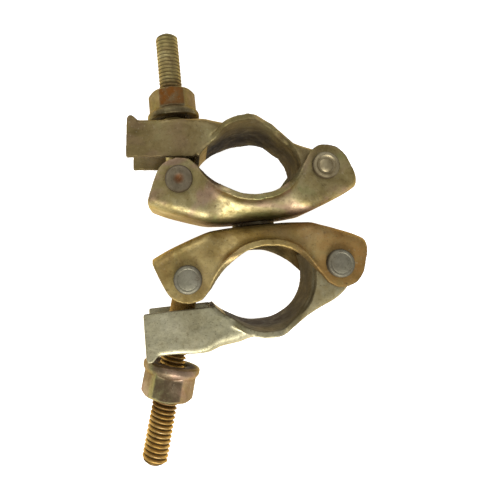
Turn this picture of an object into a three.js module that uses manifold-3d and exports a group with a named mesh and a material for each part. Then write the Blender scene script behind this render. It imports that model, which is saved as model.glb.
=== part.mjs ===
// Pressed-steel swivel coupler for 48.6 mm scaffold tube: two identical clamp halves joined back to back
// by a swivel rivet. Millimetres, +Z up; the coupler lies on its side with both tube axes along Z, the
// upper half toward +Y and the hinges toward +X.
// Each half is built in its own frame: x along the rivet line, v outward from the swivel plane, w along
// the tube. The other half is the same shape turned half a turn about X.
import * as THREE from 'three';
import { mergeVertices } from 'three/addons/utils/BufferGeometryUtils.js';
import Module from 'manifold-3d';

// driving dimensions
const TUBE_R = 24.3;        // tube the clamp is made for
const SHEET = 3;            // pressed sheet thickness
const GAP = 0.3;            // running gap between touching pieces
const RIVET_X = 36.6;       // hinge and bolt rivets at +-RIVET_X
const RIVET_V = 24.05;      // rivet line outward from the swivel plane
const EAR_W = 21;           // half width over the saddle ears
const LIP_W = 28;           // half width over the flared lips
const FORK_W = 17.5;        // half width over the cap's fork and hinge ears
const WEB_V = 1;            // saddle web outer face from the swivel plane
const BAND_X = 0, BAND_V = 27, BAND_R = 24.8; // cap band, inner radius and centre when closed
const FLARE = 1.2;          // how far the band's lips flare outward
const FORK_END = -59, FORK_OUT = 57.2, FORK_IN = 37.8;
const SLOT_W = 7, SLOT_END = -24.6; // half width and closed end of the fork slot
const RIVET_R = 5.5, HEAD_R = 6.7, HEAD_H = 3;
const BOLT_R = 6.2, BOLT_LEN = 87, EYE_R = 10, EYE_W = 10;
const NUT_AF = 22.2, NUT_H = 15.8, COLLAR_R = 14, COLLAR_H = 5, NUT_BORE = 6.5;
const SWIVEL_R = 7, SWIVEL_HEAD_R = 10, SWIVEL_HEAD_H = 4;
// reach: the fork's outer corner from the swivel axis.
// hinge: the angle where the cap's hinge web leaves the band, and the web's outer face along x.
const HALVES = {
  // tightened, its cap bent by use
  upper: { side: 1, forkBend: 9.5, capTurn: 4.5, lean: 0, nut: 36.6, reach: 60.2,
    hinge: [42, [[19.5, 45.5], [23.2, 41.4], [27.5, 38.5], [34.1, 35.1], [38.7, 32.8]]] },
  // backed off, its bolt leaning out
  lower: { side: -1, forkBend: 0, capTurn: 0, lean: 16, nut: 41.4, reach: 59,
    hinge: [59, [[13.5, 50.2], [17.5, 48.1], [24.9, 44.6], [33.8, 41], [38.5, 38]]] },
};

const wasm = await Module();
wasm.setup();

function solid(geo) {
  const g = geo.clone();
  g.deleteAttribute('normal');
  g.deleteAttribute('uv');
  const m = mergeVertices(g, 1e-4);
  const mesh = new wasm.Mesh({
    numProp: 3,
    vertProperties: new Float32Array(m.attributes.position.array),
    triVerts: new Uint32Array(m.index.array),
  });
  return new wasm.Manifold(mesh);
}

function geometry(man) {
  const mesh = man.getMesh();
  const g = new THREE.BufferGeometry();
  g.setAttribute('position', new THREE.BufferAttribute(new Float32Array(mesh.vertProperties), 3));
  g.setIndex(new THREE.BufferAttribute(new Uint32Array(mesh.triVerts), 1));
  return g;
}

// A prism over points [x, v], from w0 to w1.
function prism(points, w0, w1) {
  const shape = new THREE.Shape(points.map((p) => new THREE.Vector2(p[0], p[1])));
  const g = new THREE.ExtrudeGeometry(shape, { depth: w1 - w0, bevelEnabled: false, steps: 1 });
  return solid(g.translate(0, 0, w0));
}

function circle(x, v, r, n = 32) {
  return Array.from({ length: n }, (_, i) => {
    const a = (2 * Math.PI * (i + 0.5)) / n;
    return [x + r * Math.cos(a), v + r * Math.sin(a)];
  });
}

// A solid of revolution about Y from [r, y] points that start and end on the axis.
function turned(points, n = 32) {
  const g = new THREE.LatheGeometry(points.map((p) => new THREE.Vector2(p[0], p[1])), n);
  return g;
}

function table(points, x) {
  // monotone cubic through [x, y] points
  const n = points.length;
  if (x <= points[0][0]) return points[0][1];
  if (x >= points[n - 1][0]) return points[n - 1][1];
  let i = 0;
  while (x > points[i + 1][0]) i++;
  const d = (k) => (points[k + 1][1] - points[k][1]) / (points[k + 1][0] - points[k][0]);
  const slope = (k) => {
    if (k === 0) return d(0);
    if (k === n - 1) return d(n - 2);
    return d(k - 1) * d(k) <= 0 ? 0 : (2 * d(k - 1) * d(k)) / (d(k - 1) + d(k));
  };
  const h = points[i + 1][0] - points[i][0];
  const t = (x - points[i][0]) / h;
  const a = slope(i) * h, b = slope(i + 1) * h;
  const y0 = points[i][1], y1 = points[i + 1][1];
  return y0 + t * (a + t * (3 * (y1 - y0) - 2 * a - b + t * (2 * (y0 - y1) + a + b)));
}

const smooth = (a, b, x) => {
  const t = Math.min(1, Math.max(0, (x - a) / (b - a)));
  return t * t * (3 - 2 * t);
};

// A sheet of the given thickness under a grid of points, closed along its edges.
function sheet(grid, thick) {
  const n = grid.length, m = grid[0].length;
  const at = (i, j) => grid[Math.min(n - 1, Math.max(0, i))][Math.min(m - 1, Math.max(0, j))];
  const pos = [], idx = [];
  for (const k of [0, thick]) {
    for (let i = 0; i < n; i++) {
      for (let j = 0; j < m; j++) {
        const du = new THREE.Vector3().subVectors(at(i + 1, j), at(i - 1, j));
        const dv = new THREE.Vector3().subVectors(at(i, j + 1), at(i, j - 1));
        const normal = new THREE.Vector3().crossVectors(du, dv).normalize();
        const p = at(i, j).clone().addScaledVector(normal, -k);
        pos.push(p.x, p.y, p.z);
      }
    }
  }
  const id = (k, i, j) => k * n * m + i * m + j;
  const quad = (a, b, c, d) => idx.push(a, b, c, a, c, d);
  for (let i = 0; i + 1 < n; i++) {
    for (let j = 0; j + 1 < m; j++) {
      quad(id(0, i, j), id(0, i + 1, j), id(0, i + 1, j + 1), id(0, i, j + 1));
      quad(id(1, i, j), id(1, i, j + 1), id(1, i + 1, j + 1), id(1, i + 1, j));
    }
    quad(id(0, i, 0), id(1, i, 0), id(1, i + 1, 0), id(0, i + 1, 0));
    quad(id(0, i, m - 1), id(0, i + 1, m - 1), id(1, i + 1, m - 1), id(1, i, m - 1));
  }
  for (let j = 0; j + 1 < m; j++) {
    quad(id(0, 0, j), id(0, 0, j + 1), id(1, 0, j + 1), id(1, 0, j));
    quad(id(0, n - 1, j), id(1, n - 1, j), id(1, n - 1, j + 1), id(0, n - 1, j + 1));
  }
  const g = new THREE.BufferGeometry();
  g.setAttribute('position', new THREE.BufferAttribute(new Float32Array(pos), 3));
  g.setIndex(idx);
  return solid(g);
}

// Saddle: outer face of the web and edge of the flanges, outward from the swivel plane, along x.
const END_L = -53, END_R = 52.5;
const WEB = [[END_L, 13], [-45, 9.3], [-38, 6.7], [-30, 4], [-22, 1.7], [-12, WEB_V], [12, WEB_V],
  [24, 2], [33, 4.8], [40, 7.4], [46, 9.8], [END_R, 13.2]];
const EDGE = [[END_L, 15.4], [-50, 22.3], [-45.6, 31], [-42, 33.8], [-36.7, 35.1], [-31.5, 34.3],
  [-27.3, 30.5], [-24.5, 25], [-20.5, 19.3], [-14, 13.6], [-7, 10.4], [0, 9.4], [7, 9.9], [14, 12.3],
  [20, 17], [23.5, 21.4], [27, 27.4], [31, 33], [36.6, 35.5], [42.5, 34.3], [47.3, 30.2],
  [51, 21.8], [END_R, 17.4]];
const MID = [[0, 0], [7, 0], [13, 0.3], [16.5, 1.8], [18.6, 4.2], [20, 6.6], [21.4, 8.9], [23.2, 10.5],
  [25.5, 11], [LIP_W, 11]];

function saddleSection(x) {
  const top = table(WEB, x), deep = table(EDGE, x) - top;
  const r = 6, bend = EAR_W - r, rise = Math.min(r, 0.8 * deep);
  const ear = [[0, 0], [bend / 2, 0], [bend, 0]];
  for (const a of [22.5, 45, 67.5, 90]) {
    const t = (a * Math.PI) / 180;
    ear.push([bend + r * Math.sin(t), rise - rise * Math.cos(t)]);
  }
  for (const k of [1, 2, 3]) ear.push([EAR_W, rise + ((deep - rise) * k) / 3]);
  const b = 1 - smooth(13, 28, Math.abs(x));
  return ear.map((e, j) => {
    const m = MID[j];
    return [e[0] + b * (m[0] - e[0]), top + e[1] + b * ((m[1] * deep) / 11 - e[1])];
  });
}

function saddle() {
  const xs = [];
  for (let x = END_L; x < END_R - 0.5; x += 2.7) xs.push(x);
  xs.push(END_R);
  const grid = xs.map((x) => {
    const half = saddleSection(x);
    const row = half.slice(1).reverse().map(([w, v]) => new THREE.Vector3(x, v, -w));
    return row.concat(half.map(([w, v]) => new THREE.Vector3(x, v, w)));
  });
  let s = sheet(grid, SHEET);
  for (const x of [-RIVET_X, RIVET_X]) s = s.subtract(prism(circle(x, RIVET_V, RIVET_R + GAP), -40, 40));
  const hole = new THREE.CylinderGeometry(SWIVEL_R + GAP, SWIVEL_R + GAP, 20, 32);
  return s.subtract(solid(hole));
}

// Half width of the cap's band by the angle about its centre.
const BAND_HALF = [[22, 14], [36, 14.6], [48, 16], [56, 18.8], [65, 20.8], [71, 23.5], [77, 26.4],
  [83, LIP_W], [106, LIP_W], [112, 27], [119, 22.5], [125, 18.5], [131, 17], [160, 16.7]];

function cap({ forkBend, capTurn, reach, hinge }) {
  const rad = Math.PI / 180;
  const on = (r, a) => [BAND_X + r * Math.cos(a * rad), BAND_V + r * Math.sin(a * rad)];
  const out = BAND_R + SHEET, mid = BAND_R + SHEET / 2;
  const grid = [];
  const angles = [-14, -2, 10];
  for (let a = 22; a < 156; a += 6) angles.push(a);
  angles.push(156);
  for (const a of angles) {
    const half = table(BAND_HALF, a);
    grid.push([-1, -0.93, -0.75, -0.54, 0, 0.54, 0.75, 0.93, 1].map((k) => {
      const [x, v] = on(out + FLARE * smooth(14, LIP_W - 2, Math.abs(k) * half), a);
      return new THREE.Vector3(x, v, k * half);
    }));
  }
  let s = sheet(grid, SHEET);
  // fork: two side plates and the slotted web, which may be bent at its root
  const root = [-9.9, 44.1];
  const turn = (p) => {
    const k = -forkBend * rad * smooth(8, 22, -p[0]);
    const c = Math.cos(k), q = Math.sin(k), dx = p[0] - root[0], dv = p[1] - root[1];
    return [root[0] + c * dx - q * dv, root[1] + q * dx + c * dv];
  };
  const lineOut = [[-reach, FORK_OUT], [-47, FORK_OUT], [-30, FORK_OUT + 1], [-22, FORK_OUT + 0.8],
    [-11, FORK_OUT - 1.2], [-2, BAND_V + mid]];
  const arc = [90, 100, 110, 120, 130, 140, 150, 158].map((a) => on(mid, a));
  const inner = [[-26.6, FORK_IN], [-40, FORK_IN], [FORK_END, FORK_IN]];
  const plate = [...lineOut.slice(0, -1).map(turn), ...arc, ...inner.map(turn)];
  const under = FORK_OUT - SHEET, tip = FORK_OUT + 2.4;
  const web = [...lineOut, [-2, BAND_V + mid - 1], [-11, under - 1], [-22, under + 1],
    [-30, under + 1], [-47, under], [-reach, under]];
  const lip = [[-reach, under + 0.1], [-reach, tip - 1], [0.8 - reach, tip - 0.4], [2 - reach, tip],
    [5.2 - reach, tip - 1], [7 - reach, FORK_OUT - 0.1], [7 - reach, under + 0.1]];
  const order = (pts) => pts.map(turn).reverse();
  for (const w of [-FORK_W, FORK_W - SHEET]) s = s.add(prism(plate.slice().reverse(), w, w + SHEET));
  s = s.add(prism(order(web), -FORK_W, FORK_W));
  s = s.add(prism(order(lip), -FORK_W, FORK_W));
  // hinge ears and the web between them
  const steps = [-13, -4, 6, 16, 26, 36, 44, 52, 58].filter((d) => d < hinge[0]);
  const line = hinge[1];
  const ear = [...line, [42.6, line[line.length - 1][1] - 4], [45, 27.2], [45.6, 24], [45, 20.6],
    [42.4, 17.2], [39, 15.6], [35.4, 15.4], [31, 17], [26.5, 19.6], ...steps.map((d) => on(mid, d))];
  const inside = line.map(([x, v], i) => {
    const k = SHEET * Math.min(1, 0.5 + 0.3 * i); // thinner where it runs out into the band
    return [x - 0.42 * k, v - 0.9 * k];
  });
  const bridge = [...line, ...inside.reverse()];
  for (const w of [-FORK_W, FORK_W - SHEET]) s = s.add(prism(ear.slice().reverse(), w, w + SHEET));
  s = s.add(prism(bridge.slice().reverse(), -FORK_W, FORK_W));
  // slot, open at the fork's end, and the hinge rivet's holes
  const slot = [[FORK_END - 8, -SLOT_W], ...circle(SLOT_END - SLOT_W, 0, SLOT_W, 24)
    .filter((p) => p[0] > SLOT_END - SLOT_W), [FORK_END - 8, SLOT_W]];
  const cutter = new THREE.ExtrudeGeometry(
    new THREE.Shape(slot.map((p) => new THREE.Vector2(p[0], p[1])).sort((a, b) => slotOrder(a, b))),
    { depth: 26, bevelEnabled: false },
  );
  cutter.rotateX(-Math.PI / 2).translate(0, 44, 0);
  s = s.subtract(solid(cutter));
  s = s.subtract(prism(circle(RIVET_X, RIVET_V, RIVET_R + GAP), -40, 40));
  const g = geometry(s).translate(-RIVET_X, -RIVET_V, 0).rotateZ(capTurn * rad);
  return solid(g.translate(RIVET_X, RIVET_V, 0));
}

// Points of the slot in order round its outline.
function slotOrder(a, b) {
  const key = (p) => Math.atan2(p.y, p.x + 45);
  return key(a) - key(b);
}

function rivet(x) {
  const e = EAR_W + GAP, h = e + HEAD_H;
  const side = [[RIVET_R, e], [HEAD_R, e], [HEAD_R, h - 1], [HEAD_R - 0.9, h - 0.2], [HEAD_R - 2, h], [0, h]];
  const back = side.map(([r, y]) => [r, -y]).reverse();
  const g = turned([...back, ...side]);
  return solid(g.rotateX(Math.PI / 2).translate(x, RIVET_V, 0));
}

// Places a piece built along +v from the bolt rivet, leaning outward by the half's angle.
function leaned(geo, lean) {
  return geo.rotateZ((lean * Math.PI) / 180).translate(-RIVET_X, RIVET_V, 0);
}

function eyeBolt(lean) {
  const top = BOLT_LEN;
  const shank = turned([[0, 0], [BOLT_R, 0], [BOLT_R, top - 2.6], [BOLT_R - 0.8, top - 1.1],
    [BOLT_R - 2.6, top - 0.2], [0, top]]);
  const eye = new THREE.CylinderGeometry(EYE_R, EYE_R, 2 * EYE_W, 48).rotateX(Math.PI / 2);
  const hole = new THREE.CylinderGeometry(RIVET_R + GAP, RIVET_R + GAP, 4 * EYE_W, 32).rotateX(Math.PI / 2);
  const s = solid(shank).add(solid(eye)).subtract(solid(hole));
  return solid(leaned(geometry(s), lean));
}

function flangeNut(lean, seat) {
  const r = NUT_AF / Math.sqrt(3), h = NUT_H;
  const hex = new THREE.CylinderGeometry(r, r, h - 2, 6).rotateY(Math.PI / 6).translate(0, h / 2 + 1, 0);
  const chamfer = turned([[0, 0], [14, 0], [14, h - 1.9], [NUT_AF / 2 - 0.2, h], [0, h]], 48);
  const collar = turned([[0, 0], [COLLAR_R - 0.6, 0], [COLLAR_R, 0.6], [COLLAR_R, 2.6], [12.6, COLLAR_H],
    [0, COLLAR_H + 0.6]], 48);
  const bore = new THREE.CylinderGeometry(NUT_BORE, NUT_BORE, 60, 32);
  const s = solid(hex).intersect(solid(chamfer)).add(solid(collar)).subtract(solid(bore));
  return solid(leaned(geometry(s).translate(0, seat, 0), lean));
}

function ring(r0, r1, y0, y1) {
  const a = turned([[0, y0], [r1, y0], [r1, y1], [0, y1]], 48);
  const b = turned([[0, y0 - 5], [r0, y0 - 5], [r0, y1 + 5], [0, y1 + 5]], 48);
  return solid(a).subtract(solid(b));
}

function swivelRivet() {
  const inner = WEB_V + SHEET + GAP + 1.5 + GAP, y = inner + SWIVEL_HEAD_H, r = SWIVEL_HEAD_R;
  const up = [[SWIVEL_R, inner], [r, inner], [r, y - 1.4], [r - 1.2, y - 0.4], [r - 3, y], [0, y]];
  return solid(turned([...up.map(([a, b]) => [a, -b]).reverse(), ...up], 40));
}

const group = new THREE.Group();
const LOOKS = {
  saddle: [0x9a8450, 0.35], cap: [0xa39463, 0.35], rivet: [0x9c9a90, 0.4], bolt: [0x9a7434, 0.35],
  nut: [0xa58f60, 0.4],
};

function put(name, man, look, side = 1) {
  const g = geometry(man);
  if (side < 0) g.rotateX(Math.PI);
  const [color, roughness] = LOOKS[look];
  const m = new THREE.MeshStandardMaterial({ name: name + '_' + look, color, metalness: 1, roughness });
  const mesh = new THREE.Mesh(g, m);
  mesh.name = name;
  group.add(mesh);
}

for (const [half, h] of Object.entries(HALVES)) {
  put(half + '_saddle', saddle(), 'saddle', h.side);
  put(half + '_cap', cap(h), 'cap', h.side);
  put(half + '_hinge_rivet', rivet(RIVET_X), 'rivet', h.side);
  put(half + '_bolt_rivet', rivet(-RIVET_X), 'rivet', h.side);
  put(half + '_eye_bolt', eyeBolt(h.lean), 'bolt', h.side);
  put(half + '_flange_nut', flangeNut(h.lean, h.nut), 'nut', h.side);
  const y0 = WEB_V + SHEET + GAP;
  put(half + '_head_washer', ring(SWIVEL_R + GAP, SWIVEL_HEAD_R + 0.5, y0, y0 + 1.5), 'rivet', h.side);
}
put('swivel_rivet', swivelRivet(), 'rivet');
put('swivel_washer', ring(SWIVEL_R + GAP, 11, -WEB_V + GAP, WEB_V - GAP), 'rivet');

// Stand the coupler on the floor, centred.
const box = new THREE.Box3();
for (const m of group.children) {
  m.geometry.computeBoundingBox();
  box.union(m.geometry.boundingBox);
}
const c = box.getCenter(new THREE.Vector3());
for (const m of group.children) {
  m.geometry.translate(-c.x, -c.y, -box.min.z);
  m.geometry.computeVertexNormals();
}

export default group;
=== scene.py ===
"""Pressed-steel swivel coupler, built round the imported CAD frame.

Each half is modelled in its own coordinates, in millimetres: x along the rivet line, v outward from
the swivel plane, w along the tube. Half.place() puts them in the row frame, in metres.
"""

import math

import bmesh
import bpy
import numpy as np
from mathutils import Matrix, Vector


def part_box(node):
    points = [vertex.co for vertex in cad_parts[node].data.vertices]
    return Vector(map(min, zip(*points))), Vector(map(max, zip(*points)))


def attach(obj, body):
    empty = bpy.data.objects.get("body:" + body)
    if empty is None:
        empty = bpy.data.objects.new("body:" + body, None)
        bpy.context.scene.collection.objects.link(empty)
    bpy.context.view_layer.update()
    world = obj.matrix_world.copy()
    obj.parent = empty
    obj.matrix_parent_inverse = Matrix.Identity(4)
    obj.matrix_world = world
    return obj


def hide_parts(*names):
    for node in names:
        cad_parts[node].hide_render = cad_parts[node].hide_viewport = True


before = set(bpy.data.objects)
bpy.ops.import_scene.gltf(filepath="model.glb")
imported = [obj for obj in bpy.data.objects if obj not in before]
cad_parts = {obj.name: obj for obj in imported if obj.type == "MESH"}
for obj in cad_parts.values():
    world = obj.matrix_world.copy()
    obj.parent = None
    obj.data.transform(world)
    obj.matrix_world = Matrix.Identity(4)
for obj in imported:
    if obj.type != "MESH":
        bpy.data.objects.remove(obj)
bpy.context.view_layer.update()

# Driving dimensions, in mm. They are the CAD's, except that the flare is smaller, the fork's face a
# little higher, and the band opens out by SPIRAL where it runs into the fork.
SHEET = 3.0
RIVET_X, RIVET_V = 36.6, 24.05
EAR_W, LIP_W, FORK_W = 21.0, 28.0, 17.5
BAND_X, BAND_V, BAND_R, FLARE, SPIRAL = 0.0, 27.0, 24.8, 0.6, 3.2
FORK_OUT, FORK_IN = 57.4, 37.8
SLOT_W, SLOT_END = 7.0, -24.6
BOLT_R, BOLT_LEN, EYE_R, EYE_W = 6.2, 87.0, 10.0, 10.0
PITCH = 2.117
NUT_AF, NUT_H, COLLAR_R, COLLAR_H, NUT_BORE = 22.2, 15.8, 14.0, 5.0, 6.5
RIVET_R, HEAD_R, HEAD_H = 5.5, 6.7, 3.0
VOXEL = 0.5
BAND_FROM, BAND_TO = -21, 150.5  # the band's ends, in degrees about its centre
HINGE_EAR_R = 8.9
NUT_CORNER_R, NUT_SIDES = 12.8, 144
EYE_CLEARANCE = 0.3
THREAD_START = 28.0
THREAD_DEPTH = {"upper": 0.3, "lower": 1.15}  # the upper bolt's thread is worn
FORK_BEND_ROOT = (-9.9, 44.1)


def centre_mm(node):
    lo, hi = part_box(node)
    return (np.array(lo) + np.array(hi)) * 500.0


SWIVEL = centre_mm("swivel_rivet")


class Half:
    """One clamp half: its name, side (+1 upper, -1 lower) and the state that its pieces stand in."""

    def __init__(self, name, side, fork_bend, cap_turn, lean, seat, reach, rise, hinge):
        self.name, self.side = name, side
        self.fork_bend, self.cap_turn, self.lean, self.seat = fork_bend, cap_turn, lean, seat
        self.reach, self.hinge = reach, hinge
        self.fork_out, self.fork_in = FORK_OUT + rise, FORK_IN + rise

    def place(self, p):
        p = np.asarray(p, float)
        out = np.stack([p[:, 0], self.side * p[:, 1], self.side * p[:, 2]], axis=1)
        return (out + SWIVEL) * 0.001


HALVES = [
    Half("upper", 1, 9.5, 4.5, 0.0, 36.6, 60.2, 0.0,
         [(19.5, 45.5), (23.2, 41.4), (27.5, 38.5), (34.1, 35.1), (38.7, 32.8), (42, 29.6)]),
    Half("lower", -1, 3.0, 3.0, 16.0, 41.4, 58.0, 2.46,
         [(14.9, 51.4), (18.8, 49.1), (26.0, 45.2), (34.7, 41.1), (39.2, 37.9), (42, 34.8)]),
]


# ---------------------------------------------------------------- shape helpers


def curve(points, x):
    """Monotone cubic through the (x, y) points, at each x."""
    px, py = np.array(points, float).T
    d = np.diff(py) / np.diff(px)
    slope = np.zeros(len(px))
    slope[0], slope[-1] = d[0], d[-1]
    for k in range(1, len(px) - 1):
        if d[k - 1] * d[k] > 0:
            slope[k] = 2 * d[k - 1] * d[k] / (d[k - 1] + d[k])
    x = np.clip(np.asarray(x, float), px[0], px[-1])
    i = np.clip(np.searchsorted(px, x) - 1, 0, len(px) - 2)
    h = px[i + 1] - px[i]
    t = (x - px[i]) / h
    a, b, rise = slope[i] * h, slope[i + 1] * h, py[i + 1] - py[i]
    return py[i] + t * (a + t * (3 * rise - 2 * a - b + t * (a + b - 2 * rise)))


def smooth(a, b, x):
    t = np.clip((np.asarray(x, float) - a) / (b - a), 0, 1)
    return t * t * (3 - 2 * t)


def turn(p, about, degrees):
    """Points turned in the x-v plane, anticlockwise."""
    a = np.radians(degrees)
    c, s = np.cos(a), np.sin(a)
    out = np.array(p, float)
    dx, dv = out[:, 0] - about[0], out[:, 1] - about[1]
    out[:, 0], out[:, 1] = about[0] + c * dx - s * dv, about[1] + s * dx + c * dv
    return out


def sheet(grid, thick):
    """A sheet of that thickness under a grid of points, closed along its edges."""
    du = np.gradient(grid, axis=0)
    dv = np.gradient(grid, axis=1)
    normal = np.cross(du, dv)
    normal /= np.maximum(np.linalg.norm(normal, axis=2, keepdims=True), 1e-9)
    n, m = grid.shape[:2]
    verts = np.concatenate([grid.reshape(-1, 3), (grid - thick * normal).reshape(-1, 3)])
    faces = []

    def at(k, i, j):
        return k * n * m + i * m + j

    for i in range(n - 1):
        for j in range(m - 1):
            faces.append([at(0, i, j), at(0, i + 1, j), at(0, i + 1, j + 1), at(0, i, j + 1)])
            faces.append([at(1, i, j), at(1, i, j + 1), at(1, i + 1, j + 1), at(1, i + 1, j)])
        for j, flip in ((0, False), (m - 1, True)):
            q = [at(0, i, j), at(1, i, j), at(1, i + 1, j), at(0, i + 1, j)]
            faces.append(q[::-1] if flip else q)
    for j in range(m - 1):
        for i, flip in ((0, False), (n - 1, True)):
            q = [at(0, i, j), at(0, i, j + 1), at(1, i, j + 1), at(1, i, j)]
            faces.append(q[::-1] if flip else q)
    return verts, faces


def round_grid(radius, ys, n, axis="v"):
    """A closed body from rings: radius(angles, y) at each y, capped at both ends."""
    angles = np.linspace(0, 2 * np.pi, n, endpoint=False)
    verts, faces = [], []
    for y in ys:
        r = radius(angles, y)
        ring = np.stack([r * np.cos(angles), np.full(n, y), r * np.sin(angles)], axis=1)
        verts.append(ring)
    verts = np.concatenate(verts)
    for i in range(len(ys) - 1):
        for j in range(n):
            k = (j + 1) % n
            faces.append([i * n + j, (i + 1) * n + j, (i + 1) * n + k, i * n + k])
    faces.append(list(range(n)))
    faces.append(list(range(len(ys) * n - 1, (len(ys) - 1) * n - 1, -1)))
    if axis == "w":
        verts = verts[:, [0, 2, 1]] * [1, -1, 1]
    return verts, faces


def lathe(profile, n=64, axis="v"):
    """A turned body from (radius, height) points, without its axis points."""
    rs, ys = zip(*profile)
    lookup = dict(enumerate(rs))
    index = iter(range(len(rs)))
    return round_grid(lambda a, y: np.full(len(a), lookup[next(index)]), ys, n, axis)


def prism(outline, w0, w1):
    """A block over (x, v) points, from w0 to w1."""
    n = len(outline)
    verts = [(x, v, w0) for x, v in outline] + [(x, v, w1) for x, v in outline]
    faces = [list(range(n - 1, -1, -1)), list(range(n, 2 * n))]
    faces += [[i, (i + 1) % n, n + (i + 1) % n, n + i] for i in range(n)]
    return np.array(verts, float), faces


def joined(parts):
    verts, faces, start = [], [], 0
    for v, f in parts:
        verts.append(v)
        faces += [[k + start for k in q] for q in f]
        start += len(v)
    return np.concatenate(verts), faces


def new_object(name, verts, faces):
    mesh = bpy.data.meshes.new(name)
    mesh.from_pydata([tuple(v) for v in verts], [], faces)
    mesh.update()
    ob = bpy.data.objects.new(name, mesh)
    bpy.context.scene.collection.objects.link(ob)
    return ob


def applied(ob):
    """Replaces an object's mesh by its modified one."""
    dg = bpy.context.evaluated_depsgraph_get()
    dg.update()
    mesh = bpy.data.meshes.new_from_object(ob.evaluated_get(dg), depsgraph=dg)
    ob.modifiers.clear()
    old, ob.data = ob.data, mesh
    bpy.data.meshes.remove(old)
    return ob


def outward(ob):
    """Turns every face of a closed mesh outward."""
    bm = bmesh.new()
    bm.from_mesh(ob.data)
    bmesh.ops.recalc_face_normals(bm, faces=bm.faces)
    bm.to_mesh(ob.data)
    bm.free()


def pressed(name, half, parts, cutters=(), passes=5):
    """Fuses overlapping bodies into one skin with softened edges, as pressed and deburred sheet has."""
    ob = new_object(name, *joined(parts))
    outward(ob)
    mod = ob.modifiers.new("fuse", "REMESH")
    mod.mode, mod.voxel_size = "VOXEL", VOXEL
    applied(ob)
    for k, cutter in enumerate(cutters):
        tool = new_object(f"{name}_tool{k}", *cutter)
        outward(tool)
        mod = ob.modifiers.new("cut", "BOOLEAN")
        mod.operation, mod.object, mod.solver = "DIFFERENCE", tool, "EXACT"
        applied(ob)
        bpy.data.objects.remove(tool)
    if cutters:
        mod = ob.modifiers.new("fuse", "REMESH")
        mod.mode, mod.voxel_size = "VOXEL", VOXEL
    mod = ob.modifiers.new("soften", "SMOOTH")
    mod.factor, mod.iterations = 0.5, passes
    applied(ob)
    co = np.empty(len(ob.data.vertices) * 3)
    ob.data.vertices.foreach_get("co", co)
    ob.data.vertices.foreach_set("co", half.place(co.reshape(-1, 3)).ravel())
    for p in ob.data.polygons:
        p.use_smooth = True
    ob.data.update()
    return ob


def solid(name, place, parts, angle=40):
    """One object from bodies that need no fusing, with edges sharper than angle kept."""
    verts, faces = joined(parts)
    ob = new_object(name, place(verts), faces)
    outward(ob)
    for p in ob.data.polygons:
        p.use_smooth = True
    ob.data.set_sharp_from_angle(angle=math.radians(angle))
    return ob


# ---------------------------------------------------------------- saddle

END_L, END_R, CORNER = -53.0, 52.5, 3.0
WEB = [(END_L, 13), (-45, 9.3), (-38, 6.7), (-30, 4), (-22, 1.7), (-12, 1), (12, 1), (24, 2), (33, 4.8),
       (40, 7.4), (46, 9.8), (END_R, 13.2)]
EDGE = [(END_L, 15.4), (-50, 22.3), (-45.6, 31), (-42, 33.8), (-36.7, 35.1), (-31.5, 34.3),
        (-27.3, 30.5), (-24.5, 25), (-20.5, 19.3), (-14, 13.6), (-7, 10.4), (0, 9.4), (7, 9.9), (14, 12.3),
        (20, 17), (23.5, 21.4), (27, 27.4), (31, 33), (36.6, 35.5), (42.5, 34.3), (47.3, 30.2),
        (51, 21.8), (END_R, 17.4)]
MID = [(0, 0), (7, 0), (13, 0.3), (16.5, 1.8), (18.6, 4.2), (20, 6.6), (21.4, 8.9), (23.2, 10.5),
       (25.5, 11), (LIP_W, 11)]


def even(points, n):
    """n points spread evenly along a polyline, rounded once."""
    p = np.array(points, float)
    along = np.concatenate([[0], np.cumsum(np.linalg.norm(np.diff(p, axis=0), axis=1))])
    t = np.linspace(0, along[-1], n)
    return np.stack([np.interp(t, along, p[:, k]) for k in range(p.shape[1])], axis=1)


def saddle_parts():
    n_half = 26
    rows = []
    for x in np.linspace(END_L, END_R, 160):
        top, deep = curve(WEB, x), curve(EDGE, x) - curve(WEB, x)
        r, bend = 6.0, EAR_W - 6.0
        rise = min(r, 0.8 * deep)
        a = np.radians(np.linspace(0, 90, 9))
        ear = [(0, 0), (bend, 0)] + list(zip(bend + r * np.sin(a), rise - rise * np.cos(a)))
        ear = even(ear + [(EAR_W, deep)], n_half)
        mid = even([(w, q * deep / 11) for w, q in MID], n_half)
        b = 1 - smooth(13, 28, abs(x))
        half = ear + b * (mid - ear)
        near = np.clip(1 - min(x - END_L, END_R - x) / CORNER, 0, 1)
        half[:, 0] *= 1 - CORNER * (1 - math.sqrt(1 - near**2)) / EAR_W
        w = np.concatenate([-half[:0:-1, 0], half[:, 0]])
        q = np.concatenate([half[:0:-1, 1], half[:, 1]])
        rows.append(np.stack([np.full(len(w), x), top + q, w], axis=1))
    return [sheet(np.array(rows), SHEET)]


# ---------------------------------------------------------------- cap

BAND_HALF = [(22, 14), (36, 14.6), (48, 16), (56, 18.8), (65, 20.8), (71, 23.5), (77, 26.4), (83, LIP_W),
             (106, LIP_W), (112, 27), (119, 22.5), (125, 18.5), (131, 17), (160, 16.7)]


def on_band(r, degrees):
    a = np.radians(degrees)
    return BAND_X + r * np.cos(a), BAND_V + r * np.sin(a)


def inner_radius(degrees):
    """The band opens out a little where it runs into the fork."""
    return BAND_R + SPIRAL * smooth(118, 156, degrees)


def band_strip(angles, half_width):
    rows = []
    for a, h in zip(angles, half_width):
        w = np.linspace(-h, h, 45)
        x, v = on_band(inner_radius(a) + SHEET + FLARE * smooth(14, LIP_W - 2, np.abs(w)), a)
        rows.append(np.stack([x, v, w], axis=1))
    return sheet(np.array(rows), SHEET)


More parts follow.
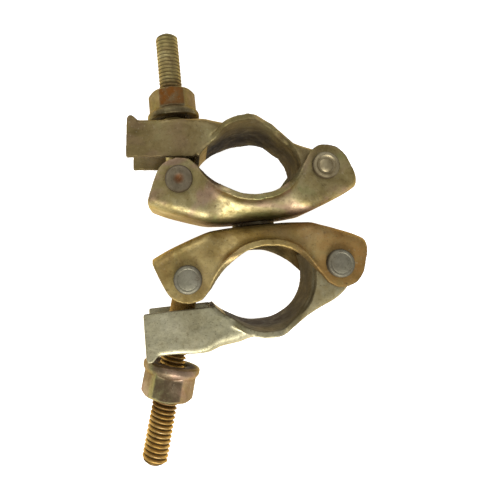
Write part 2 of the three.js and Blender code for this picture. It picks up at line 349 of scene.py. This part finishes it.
def channel(xs, web, edge, half_w, radius):
    """A U of sheet along x: the web at v = web(x), bends of radius(x), flanges down to edge(x)."""
    rows = []
    a = np.radians(np.linspace(0, 90, 7))
    for x in xs:
        top, low = web(x), edge(x)
        r = min(radius(x), max(top - low - 0.3, 0.3))
        line = [(0, top), (half_w - r, top)]
        line += list(zip(half_w - r + r * np.sin(a), top - r + r * np.cos(a)))
        half = even(line + [(half_w, low)], 26)
        w = np.concatenate([-half[:0:-1, 0], half[:, 0]])
        v = np.concatenate([half[:0:-1, 1], half[:, 1]])
        rows.append(np.stack([np.full(len(w), x), v, w], axis=1))
    return sheet(np.array(rows)[::-1], SHEET)


def cap_parts(half):
    mid = BAND_R + SHEET / 2
    angles = np.arange(BAND_FROM, BAND_TO, 1.5)
    parts = [band_strip(angles, curve(BAND_HALF, angles))]

    top = half.fork_out
    seam = np.arange(90.0, 158.5, 2)
    seam_x, seam_v = on_band(inner_radius(seam) + SHEET / 2, seam)

    def web(x):
        return curve([(-half.reach, top), (-47, top), (-30, top + 1), (-22, FORK_OUT + 1.5),
                      (-14, FORK_OUT + 0.9), (-8, FORK_OUT - 0.7), (-1, BAND_V + BAND_R + SHEET)], x)

    def edge(x):
        arc = np.interp(x, seam_x[::-1], seam_v[::-1]) - 0.22 * half.fork_bend * smooth(8, 24, -x)
        return half.fork_in if x < -26.8 else min(max(arc, half.fork_in), float(web(x)) - 0.4)

    def radius(x):
        return float(curve([(-34, 1.6), (-24, 4.0), (-12, 5.0)], x))

    fork = channel(np.linspace(-half.reach, -2, 116), web, edge, FORK_W, radius)
    tip, end = top + 2.4, -half.reach
    lip = prism([(end, top - SHEET), (end, tip - 2.0), (end + 0.4, tip - 0.8), (end + 1.2, tip - 0.1),
                 (end + 2.4, tip), (end + 3.6, tip - 0.6), (end + 5.4, top - 0.1), (end + 5.4, top - SHEET)],
                -FORK_W, FORK_W)
    bent = []
    for verts, faces in (fork, lip):
        k = half.fork_bend * smooth(8, 22, -verts[:, 0])
        bent.append((turn(verts, FORK_BEND_ROOT, -k), faces))
    parts += bent

    start = half.hinge[0][0] - 4
    hinge_web = [(start, BAND_V + math.sqrt((BAND_R + SHEET) ** 2 - start**2))] + half.hinge
    arc = [(x, BAND_V + math.sqrt(mid**2 - x**2)) for x in np.arange(start, 24.1, 2.4)]
    low = arc + [(25.6, 31), (25.9, 22.4), (27, 19.6), (31, 17), (35.4, 15.4), (39, 15.6), (42, 16.9)]
    parts.append(channel(np.linspace(start, 42, 70), lambda x: float(curve(hinge_web, x)),
                         lambda x: min(float(curve(low, x)), float(curve(hinge_web, x)) - 0.4), FORK_W,
                         lambda x: 4.0))
    eye = []
    for k in range(48):
        a = 2 * math.pi * k / 48
        eye.append((RIVET_X + HINGE_EAR_R * math.cos(a), RIVET_V + HINGE_EAR_R * math.sin(a)))
    for w in (-FORK_W, FORK_W - SHEET):
        parts.append(prism(eye, w, w + SHEET))
    return [(turn(v, (RIVET_X, RIVET_V), half.cap_turn), f) for v, f in parts]


def slot_cutter(half):
    xs = [(-75, -SLOT_W)]
    for k in range(17):
        a = math.radians(-90 + 180 * k / 16)
        xs.append((SLOT_END - SLOT_W + SLOT_W * math.cos(a), SLOT_W * math.sin(a)))
    xs.append((-75, SLOT_W))
    verts, faces = prism(xs, 44, 75)
    verts = verts[:, [0, 2, 1]]
    return turn(verts, (RIVET_X, RIVET_V), half.cap_turn), faces


# ---------------------------------------------------------------- rivets, bolts and nuts


def rivet_profile(front, back):
    """(radius, w) from the back head to the front head."""
    e = EAR_W + 0.2
    shank = [(RIVET_R, -e), (RIVET_R, e)]
    return [(r, -y) for r, y in back[::-1]] + shank + list(front)


def head(style):
    e, h = EAR_W + 0.2, EAR_W + 0.2 + HEAD_H
    if style == "flat":
        top = [(HEAD_R, h - 0.9), (HEAD_R - 0.25, h - 0.35), (HEAD_R - 0.9, h), (5.0, h + 0.02),
               (4.8, h - 0.1), (4.5, h), (2.0, h + 0.05), (0.05, h + 0.05)]
    elif style == "dimple":
        top = [(HEAD_R, h - 0.8), (HEAD_R - 0.3, h - 0.2), (HEAD_R - 1, h), (3.2, h - 0.1),
               (1.6, h - 0.35), (1.0, h - 0.8), (0.05, h - 0.9)]
    elif style == "swaged":
        top = [(HEAD_R + 0.2, h - 1.3), (HEAD_R, h - 0.5), (HEAD_R - 0.9, h), (5.0, h), (4.3, h - 0.7),
               (3.5, h - 0.8), (2.8, h - 0.3), (1.6, h - 0.1), (0.05, h)]
    else:
        top = [(HEAD_R, h - 1.6), (HEAD_R - 0.7, h - 0.7), (HEAD_R - 2, h - 0.15), (0.05, h)]
    return [(HEAD_R, e)] + top


def bolt_place(half):
    def place(verts):
        moved = verts + [-RIVET_X, RIVET_V, 0]
        return half.place(turn(moved, (-RIVET_X, RIVET_V), half.lean))

    return place


def eye_bolt_parts(depth, start):
    """Eye barrel, neck and a rolled thread of the given depth from start to the domed tip."""
    def radius(angles, y):
        body = np.full(len(angles), BOLT_R)
        phase = 2 * np.pi * y / PITCH - angles
        groove = depth * (0.5 - 0.5 * np.cos(phase)) ** 1.25
        fade = smooth(start, start + 2.5, y) * (1 - smooth(BOLT_LEN - 2.6, BOLT_LEN - 1, y))
        dome = max(y - (BOLT_LEN - 2.4), 0)
        return body - groove * fade - 1.02 * dome**1.35

    ys = np.concatenate([np.arange(0, start, 3), np.arange(start, BOLT_LEN - 2.4, PITCH / 10),
                         np.linspace(BOLT_LEN - 2.3, BOLT_LEN, 9)])
    shank = round_grid(radius, ys, 72)
    profile = [(RIVET_R + EYE_CLEARANCE, -EYE_W), (EYE_R - 0.8, -EYE_W), (EYE_R, -EYE_W + 0.8),
               (EYE_R, EYE_W - 0.8), (EYE_R - 0.8, EYE_W), (RIVET_R + EYE_CLEARANCE, EYE_W)]
    return [shank, lathe(profile, 72, "w")]


def nut_parts(seat):
    def soft_min(a, b, k):
        h = np.clip(0.5 + 0.5 * (b - a) / k, 0, 1)
        return b + (a - b) * h - k * h * (1 - h)

    def radius(angles, y):
        sector = (angles + math.pi / 6 - math.pi / 2) % (math.pi / 3) - math.pi / 6
        hexa = soft_min(NUT_AF / 2 / np.cos(sector), np.full(len(angles), NUT_CORNER_R), 0.3)
        cone = NUT_AF / 2 - 0.4 + (NUT_H - y) * 1.35
        hexa = soft_min(hexa, np.full(len(angles), cone), 0.5)
        collar = curve([(0, 13.3), (0.5, COLLAR_R - 0.1), (1.2, COLLAR_R), (2.4, COLLAR_R - 0.05),
                        (3.4, 13.5), (COLLAR_H - 0.4, 12.4), (COLLAR_H + 0.3, 11.4), (COLLAR_H + 1.2, 9)], y)
        return -soft_min(-hexa, np.full(len(angles), -float(collar)), 0.3)

    ys = np.concatenate([np.linspace(0, 0.6, 5), np.linspace(0.8, COLLAR_H + 1.8, 20),
                         np.linspace(COLLAR_H + 2.4, NUT_H - 2.2, 8), np.linspace(NUT_H - 2, NUT_H, 14)])
    verts, faces = round_grid(radius, ys, NUT_SIDES)
    n = NUT_SIDES
    faces = faces[:-2]
    rings = [verts]
    count = len(verts)
    angles = np.linspace(0, 2 * np.pi, n, endpoint=False)
    last = {"low": 0, "top": (len(ys) - 1) * n}
    for key, steps in (("low", [(10.5, -0.02), (8.2, 0.0), (7.4, 0.5), (NUT_BORE, 1.4)]),
                       ("top", [(9.6, NUT_H), (8.0, NUT_H - 0.1), (NUT_BORE, NUT_H - 1.2)])):
        for r, y in steps:
            rings.append(np.stack([r * np.cos(angles), np.full(n, y), r * np.sin(angles)], axis=1))
            for j in range(n):
                k = (j + 1) % n
                faces.append([last[key] + j, last[key] + k, count + k, count + j])
            last[key] = count
            count += n
    for j in range(n):
        k = (j + 1) % n
        faces.append([last["low"] + j, last["low"] + k, last["top"] + k, last["top"] + j])
    verts = np.concatenate(rings) + [0, seat, 0]
    return [(verts, faces)]


# ---------------------------------------------------------------- where rust, dirt and painted shade lie


def local_mm(ob, half):
    """A piece's vertices and vertex normals in the half's own coordinates."""
    n = len(ob.data.vertices)
    co, normal = np.empty(n * 3), np.empty(n * 3)
    ob.data.vertices.foreach_get("co", co)
    ob.data.vertices.foreach_get("normal", normal)
    flip = np.array([1, half.side, half.side])
    return (co.reshape(-1, 3) * 1000 - SWIVEL) * flip, normal.reshape(-1, 3) * flip


def mark(ob, name, values):
    layer = ob.data.attributes.new(name, "FLOAT", "POINT")
    layer.data.foreach_set("value", np.clip(values, 0, 1).astype(np.float32))


def mark_saddle(ob, half):
    p, n = local_mm(ob, half)
    x, v, w = p.T
    # Painted shade: darker between the two halves near the swivel and on the saddle's inner faces, where the
    # tube sits.
    gap_shade = (1 - smooth(10, 24, np.abs(x))) * (1 - smooth(1.5, 6.5, v))
    inside_shade = smooth(0.2, 0.7, n[:, 1]) * (1 - smooth(24, 27.5, np.abs(w)))
    gap_shade_amount = {"upper": 0.1, "lower": 0.12}[half.name]
    mark(ob, "grime_and_shade", np.maximum(gap_shade_amount * gap_shade, 0.8 * inside_shade))
    mark(ob, "rust", (0.8 if half.side < 0 else 0.25) * smooth(5, 35, x))


def mark_cap(ob, half):
    p, n = local_mm(ob, half)
    q = turn(p, (RIVET_X, RIVET_V), -half.cap_turn)
    dx, dv = q[:, 0] - BAND_X, q[:, 1] - BAND_V
    r = np.hypot(dx, dv)
    # Painted shade: the band's inside is darkened, less towards the top and the hinge end, and so are the
    # faces inside the fork's channel.
    inward = smooth(0.1, 0.6, -(n[:, 0] * dx + n[:, 1] * dv) / r) * (r < BAND_R + 1.5)
    deep = 1 - 0.45 * smooth(5, 24, half.side * p[:, 2]) - 0.35 * smooth(8, 22, dx)
    pocket_shade = smooth(0.3, 0.8, -n[:, 1]) * (dx < -24)
    mark(ob, "grime_and_shade", np.maximum(inward * deep, 0.7 * pocket_shade))
    mark(ob, "rust", 0.9 * smooth(2, 20, dx) if half.side < 0 else 0.2 * smooth(10, 30, dx))


def mark_nut(ob, half):
    p, n = local_mm(ob, half)
    face = smooth(0.75, 0.95, half.side * n[:, 2])
    q = turn(p, (-RIVET_X, RIVET_V), -half.lean) - [-RIVET_X, RIVET_V + half.seat, 0]
    above = smooth(COLLAR_H, COLLAR_H + 1.5, q[:, 1])
    mark(ob, "rust", face * above)
    # Painted contact shadow: the collar's foot, where the nut sits on the fork, is darkened.
    mark(ob, "grime_and_shade", 0.8 * (1 - smooth(0.3, 1.2, q[:, 1])) * (np.hypot(q[:, 0], q[:, 2]) < 12.8))


def mark_rivet(ob, half, x):
    p, n = local_mm(ob, half)
    r = np.hypot(p[:, 0] - x, p[:, 1] - RIVET_V)
    mark(ob, "rust", (1 - smooth(1.2, 2.6, r)) if (half.side > 0 and x < 0) else 0 * r)
    mark(ob, "grime_and_shade", 0.9 * smooth(HEAD_R - 0.9, HEAD_R, r))


def mark_bolt(ob, half):
    p, n = local_mm(ob, half)
    q = turn(p, (-RIVET_X, RIVET_V), -half.lean) - [-RIVET_X, RIVET_V, 0]
    r = np.hypot(q[:, 0], q[:, 2])
    threaded = smooth(THREAD_START + 1, THREAD_START + 2, q[:, 1])
    depth = THREAD_DEPTH[half.name]
    plain = {"upper": 0.0, "lower": 0.5}[half.name] * (1 - threaded)
    mark(ob, "grime_and_shade", plain + threaded * (1 - smooth(BOLT_R - depth, BOLT_R - 0.3 * depth, r)))
    near_nut = smooth(-12, -2, q[:, 1] - half.seat - NUT_H) * (1 - smooth(2, 9, q[:, 1] - half.seat - NUT_H))
    mark(ob, "rust", 0.8 * near_nut)


# ---------------------------------------------------------------- materials


class Nodes:
    """A short way to write a material's node tree."""

    def __init__(self, name):
        self.material = bpy.data.materials.new(name)
        self.material.use_nodes = True
        self.tree = self.material.node_tree
        self.shader = self.tree.nodes["Principled BSDF"]
        self.coords = self.add("ShaderNodeTexCoord").outputs["Object"]

    def add(self, kind, **values):
        node = self.tree.nodes.new(kind)
        for key, value in values.items():
            if hasattr(node, key):
                setattr(node, key, value)
            else:
                node.inputs[key].default_value = value
        return node

    def link(self, a, b):
        self.tree.links.new(a, b)

    def noise(self, scale, detail=4.0, rough=0.6, distortion=0.0, seed=0.0):
        node = self.add("ShaderNodeTexNoise", noise_dimensions="4D")
        node.inputs["Scale"].default_value = scale
        node.inputs["Detail"].default_value = detail
        node.inputs["Roughness"].default_value = rough
        node.inputs["Distortion"].default_value = distortion
        node.inputs["W"].default_value = seed
        self.link(self.coords, node.inputs["Vector"])
        return node.outputs["Fac"]

    def ramp(self, value, low, high, to=(0.0, 1.0)):
        node = self.add("ShaderNodeMapRange", interpolation_type="SMOOTHSTEP")
        node.inputs["From Min"].default_value = low
        node.inputs["From Max"].default_value = high
        node.inputs["To Min"].default_value = to[0]
        node.inputs["To Max"].default_value = to[1]
        self.link(value, node.inputs["Value"])
        return node.outputs["Result"]

    def colours(self, value, stops):
        node = self.add("ShaderNodeValToRGB")
        ramp = node.color_ramp
        while len(ramp.elements) < len(stops):
            ramp.elements.new(0.5)
        for element, (place, colour) in zip(ramp.elements, stops):
            element.position = place
            element.color = (*colour, 1)
        self.link(value, node.inputs["Fac"])
        return node.outputs["Color"]

    def mix(self, factor, a, b, blend="MIX"):
        node = self.add("ShaderNodeMix", data_type="RGBA", blend_type=blend)
        for socket, value in ((node.inputs["Factor"], factor), (node.inputs[6], a), (node.inputs[7], b)):
            if isinstance(value, bpy.types.NodeSocket):
                self.link(value, socket)
            elif isinstance(value, tuple):
                socket.default_value = (*value, 1)
            else:
                socket.default_value = value
        return node.outputs[2]

    def math(self, operation, a, b=0.0):
        node = self.add("ShaderNodeMath", operation=operation)
        for socket, value in zip(node.inputs, (a, b)):
            if isinstance(value, bpy.types.NodeSocket):
                self.link(value, socket)
            else:
                socket.default_value = value
        return node.outputs[0]

    def pointiness(self):
        return self.add("ShaderNodeNewGeometry").outputs["Pointiness"]

    def bump(self, height, strength, distance):
        node = self.add("ShaderNodeBump")
        node.inputs["Strength"].default_value = strength
        node.inputs["Distance"].default_value = distance
        self.link(height, node.inputs["Height"])
        self.link(node.outputs["Normal"], self.shader.inputs["Normal"])


def plated(name, dark, middle, light, stain=(0.10, 0.045, 0.016), rust=0.9, patchy=0.35, tint=0.5,
           rough=(0.38, 0.56), seed=0.0, grime_and_shade=0.95, speckle=0.4, worn=0.25, painted_glint_amount=0.35,
           dirt_and_shade_colour=(0.030, 0.018, 0.007)):
    """Yellow-passivated zinc on steel: mottled colour, pink and green films, rust, worn edges, painted
    glints, and a dark mask that is partly real soiling and partly painted shade in hollows, gaps and
    recesses.
    """
    m = Nodes(name)
    broad = m.noise(48, 6, 0.66, 0.5, seed=seed)
    base = m.colours(broad, [(0.33, dark), (0.5, middle), (0.68, light)])
    film = m.noise(42, 3, 0.5, 1.2, seed=seed + 3.1)
    pink = m.ramp(film, 0.53, 0.66)
    green = m.ramp(film, 0.47, 0.35)
    base = m.mix(m.math("MULTIPLY", pink, 0.5 * tint), base, (0.36, 0.22, 0.17))
    base = m.mix(m.math("MULTIPLY", green, 0.5 * tint), base, (0.25, 0.28, 0.10))
    patch = m.ramp(m.noise(75, 6, 0.7, 0.5, seed=seed + 7.7), 0.54, 0.68)
    rust_here = m.add("ShaderNodeAttribute", attribute_name="rust").outputs["Fac"]
    base = m.mix(m.math("MULTIPLY", patch, patchy), base, (0.15, 0.085, 0.032))
    broken = m.ramp(m.noise(150, 5, 0.7, 0.3, seed=seed + 8.8), 0.2, 0.6)
    base = m.mix(m.math("MULTIPLY", m.math("MULTIPLY", rust_here, broken), rust), base, stain)
    speck = m.ramp(m.noise(1100, 3, 0.6, seed=seed + 1.3), 0.56, 0.7)
    base = m.mix(m.math("MULTIPLY", speck, speckle), base, (0.05, 0.035, 0.018))
    # Painted glints: fine light flecks mixed into the base colour stand in for sparkle highlights.
    painted_glint = m.ramp(m.noise(640, 4, 0.7, seed=seed + 6.6), 0.57, 0.7)
    base = m.mix(m.math("MULTIPLY", painted_glint, painted_glint_amount), base, (0.46, 0.41, 0.28))
    blotch = m.ramp(m.noise(330, 4, 0.7, 0.4, seed=seed + 11.1), 0.55, 0.7)
    base = m.mix(m.math("MULTIPLY", blotch, 0.45), base, (0.085, 0.055, 0.022))
    # Hollows found by pointiness are darkened: partly dirt in the crevices, partly painted shade standing in
    # for occlusion.
    point = m.pointiness()
    hollow_dirt_and_shade = m.ramp(point, 0.49, 0.43)
    base = m.mix(m.math("MULTIPLY", hollow_dirt_and_shade, 0.5), base, (0.06, 0.04, 0.018))
    edge = m.math("MULTIPLY", m.ramp(point, 0.52, 0.6), m.ramp(m.noise(160, 4, seed=seed + 5), 0.4, 0.65))
    base = m.mix(m.math("MULTIPLY", edge, worn), base, (0.46, 0.42, 0.3))
    # The grime mask darkens the colour: real dirt on rivets and bolts, painted shade inside the saddles and
    # bands, between the halves and under the nut collars.
    dirt_and_shade_here = m.add("ShaderNodeAttribute", attribute_name="grime_and_shade").outputs["Fac"]
    uneven = m.ramp(m.noise(120, 5, 0.65, 0.6, seed=seed + 9.9), 0.25, 0.6, (0.55, 1.0))
    dirt_and_shade = m.math("MULTIPLY", m.math("MULTIPLY", dirt_and_shade_here, uneven), grime_and_shade)
    base = m.mix(dirt_and_shade, base, dirt_and_shade_colour)
    m.link(base, m.shader.inputs["Base Color"])
    dull = m.math("MAXIMUM", dirt_and_shade, m.math("MULTIPLY", rust_here, m.math("MULTIPLY", broken, 0.6 * rust)))
    m.link(m.ramp(dull, 0.0, 1.0, (0.9, 0.04)), m.shader.inputs["Metallic"])
    m.shader.inputs["Specular Tint"].default_value = (0.92, 0.68, 0.38, 1)
    m.shader.inputs["Specular IOR Level"].default_value = 0.04
    low, high = rough
    roughness = m.ramp(m.noise(260, 5, 0.65, seed=seed + 2), 0.3, 0.7, (low, high))
    roughness = m.math("ADD", roughness, m.math("MULTIPLY", patch, 0.12))
    roughness = m.math("ADD", roughness, m.math("MULTIPLY", dirt_and_shade, 0.3))
    roughness = m.math("ADD", roughness, m.math("MULTIPLY", rust_here, 0.12))
    m.link(roughness, m.shader.inputs["Roughness"])
    height = m.math("ADD", m.math("MULTIPLY", m.noise(520, 4, 0.6, seed=seed + 4), 0.5),
                    m.math("MULTIPLY", m.noise(100, 3, 0.5, seed=seed + 6), 1.0))
    m.bump(height, 0.6, 0.0004)
    return m.material


PLATINGS = {
    "upper_saddle": dict(dark=(0.16, 0.115, 0.038), middle=(0.30, 0.24, 0.10), light=(0.47, 0.40, 0.21),
                         tint=1.2, seed=1.0, patchy=0.35),
    "lower_saddle": dict(dark=(0.19, 0.12, 0.036), middle=(0.35, 0.25, 0.09), light=(0.52, 0.41, 0.18),
                         stain=(0.27, 0.135, 0.040), rust=0.85, tint=0.3, seed=9.0, patchy=0.4),
    "upper_cap": dict(dark=(0.13, 0.095, 0.036), middle=(0.22, 0.165, 0.070), light=(0.34, 0.275, 0.14),
                      tint=0.3, seed=17.0, patchy=0.35),
    # Lighter and greyer than the upper cap's colours: partly painted light, a lit copy of the same plating
    # for the more brightly lit lower half.
    "lower_cap": dict(dark=(0.23, 0.20, 0.11), middle=(0.35, 0.32, 0.20), light=(0.45, 0.42, 0.29),
                      tint=0.15, seed=23.0, patchy=0.15, speckle=0.6,
                      stain=(0.20, 0.155, 0.065), dirt_and_shade_colour=(0.075, 0.048, 0.021)),
    "upper_rivets": dict(dark=(0.13, 0.105, 0.065), middle=(0.22, 0.18, 0.12), light=(0.32, 0.27, 0.185),
                         stain=(0.14, 0.05, 0.015), tint=0.1, rough=(0.42, 0.58), seed=31.0, patchy=0.3),
    "lower_rivets": dict(dark=(0.15, 0.13, 0.09), middle=(0.22, 0.20, 0.145), light=(0.31, 0.29, 0.215),
                         tint=0.15, rough=(0.42, 0.58), seed=35.0, patchy=0.25),
    "upper_bolt": dict(dark=(0.20, 0.15, 0.055), middle=(0.32, 0.25, 0.10), light=(0.47, 0.40, 0.19),
                       tint=0.2, seed=37.0, grime_and_shade=0.75, stain=(0.12, 0.05, 0.015)),
    "lower_bolt": dict(dark=(0.25, 0.13, 0.03), middle=(0.42, 0.25, 0.065), light=(0.60, 0.40, 0.13),
                       tint=0.1, seed=41.0, grime_and_shade=0.85, stain=(0.14, 0.06, 0.015), worn=0.8),
    "swivel_steel": dict(dark=(0.035, 0.024, 0.012), middle=(0.06, 0.042, 0.02), light=(0.10, 0.075, 0.04),
                         tint=0.1, rough=(0.5, 0.65), seed=61.0),
    "bright_rivet": dict(dark=(0.21, 0.165, 0.09), middle=(0.34, 0.28, 0.165), light=(0.46, 0.40, 0.26),
                         tint=0.3, rough=(0.42, 0.58), seed=33.0, patchy=0.25),
    "upper_nut": dict(dark=(0.09, 0.067, 0.030), middle=(0.15, 0.118, 0.060), light=(0.24, 0.20, 0.115),
                      stain=(0.16, 0.058, 0.010), rust=1.0, tint=0.3, seed=47.0),
    "lower_nut": dict(dark=(0.11, 0.08, 0.045), middle=(0.19, 0.14, 0.083), light=(0.30, 0.235, 0.15),
                      stain=(0.075, 0.052, 0.030), rust=1.0, tint=0.8, seed=53.0),
}
MATERIALS = {name: plated(name, **values) for name, values in PLATINGS.items()}


def finish_piece(ob, body, nodes, material):
    ob.data.materials.clear()
    ob.data.materials.append(MATERIALS[material])
    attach(ob, body)
    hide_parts(*nodes)


# ---------------------------------------------------------------- the two halves

for half in HALVES:
    h = half.name
    place = half.place
    ob = pressed(f"{h}_saddle_shell", half, saddle_parts())
    mark_saddle(ob, half)
    finish_piece(ob, f"{h}_base", [f"{h}_saddle"], f"{h}_saddle")
    ob = pressed(f"{h}_cap_shell", half, cap_parts(half), [slot_cutter(half)])
    mark_cap(ob, half)
    finish_piece(ob, f"{h}_closer", [f"{h}_cap"], f"{h}_cap")
    styles = {"upper": ("swaged", "dimple"), "lower": ("flat", "flat")}[h]
    for x, key, style in ((RIVET_X, "hinge", styles[0]), (-RIVET_X, "bolt", styles[1])):
        front, back = (style, "dome") if half.side > 0 else ("dome", style)
        parts = [lathe(rivet_profile(head(front), head(back)), 64, "w")]
        ob = solid(f"{h}_{key}_rivet_body", lambda v, x=x: place(v + [x, RIVET_V, 0]), parts, 35)
        mark_rivet(ob, half, x)
        look = "bright_rivet" if (h, key) == ("upper", "hinge") else f"{h}_rivets"
        finish_piece(ob, f"{h}_base", [f"{h}_{key}_rivet"], look)
    parts = eye_bolt_parts(THREAD_DEPTH[h], THREAD_START)
    ob = solid(f"{h}_bolt_body", bolt_place(half), parts, 60)
    mark_bolt(ob, half)
    finish_piece(ob, f"{h}_swing_bolt", [f"{h}_eye_bolt"], f"{h}_bolt")
    ob = solid(f"{h}_nut_body", bolt_place(half), nut_parts(half.seat), 35)
    mark_nut(ob, half)
    finish_piece(ob, f"{h}_nut", [f"{h}_flange_nut"], f"{h}_nut")

for node in ("swivel_rivet", "swivel_washer", "upper_head_washer", "lower_head_washer"):
    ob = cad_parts[node]
    ob.data.materials.clear()
    ob.data.materials.append(MATERIALS["swivel_steel"])

# ---------------------------------------------------------------- camera, floor and light

# Lens and shifts frame the coupler; the offset is the swivel's place in the camera's own axes.
SENSOR_MM, LENS_MM = 36.0, 33.8364
SHIFT_X, SHIFT_Y = 0.06288, -0.15348
ROLL, YAW, TILT = 5.19, 4.57, -10.94
OFFSET_MM = Vector((18.18, -27.22, -248.29))

to_camera = (Matrix.Rotation(math.radians(ROLL), 3, "Z") @ Matrix.Rotation(math.radians(YAW), 3, "Y")
             @ Matrix.Rotation(math.radians(TILT), 3, "X"))
data = bpy.data.cameras.new("camera")
data.sensor_width, data.lens = SENSOR_MM, LENS_MM
data.shift_x, data.shift_y = SHIFT_X, SHIFT_Y
data.clip_start = 0.01
camera = bpy.data.objects.new("camera", data)
bpy.context.scene.collection.objects.link(camera)
turned = to_camera.transposed()
place_mm = Vector(SWIVEL) - turned @ OFFSET_MM
camera.matrix_world = Matrix.Translation(place_mm * 0.001) @ turned.to_4x4()
bpy.context.scene.camera = camera

floor_mesh = bpy.data.meshes.new("floor")
FLOOR_M, FLOOR_Z = 3.0, -0.0002
corners = [(-1, -1), (1, -1), (1, 1), (-1, 1)]
floor_mesh.from_pydata([(FLOOR_M * x, FLOOR_M * y, FLOOR_Z) for x, y in corners], [], [(0, 1, 2, 3)])
floor = bpy.data.objects.new("floor", floor_mesh)
bpy.context.scene.collection.objects.link(floor)
paper = bpy.data.materials.new("floor")
paper.use_nodes = True
paper_shader = paper.node_tree.nodes["Principled BSDF"]
for socket, value in (("Base Color", (0.93, 0.93, 0.93, 1)), ("Roughness", 0.9),
                      ("Emission Color", (1, 1, 1, 1)), ("Emission Strength", 0.95)):
    paper_shader.inputs[socket].default_value = value
floor_mesh.materials.append(paper)

world = bpy.data.worlds.new("studio")
world.use_nodes = True
world.node_tree.nodes["Background"].inputs["Color"].default_value = (1, 1, 1, 1)
world.node_tree.nodes["Background"].inputs["Strength"].default_value = 0.45
bpy.context.scene.world = world


def lamp(name, place, aim, size, power):
    light = bpy.data.lights.new(name, "AREA")
    light.shape, light.size, light.energy = "DISK", size, power
    ob = bpy.data.objects.new(name, light)
    bpy.context.scene.collection.objects.link(ob)
    ob.location = place
    ob.rotation_euler = (Vector(aim) - Vector(place)).to_track_quat("-Z", "Y").to_euler()


lamp("key", (-0.1, -0.75, 0.55), (0, 0, 0.02), 0.5, 9.0)
lamp("fill", (-0.25, 0.6, 0.6), (0, 0, 0.02), 0.6, 1.6)
bpy.context.scene.view_settings.view_transform = "Standard"
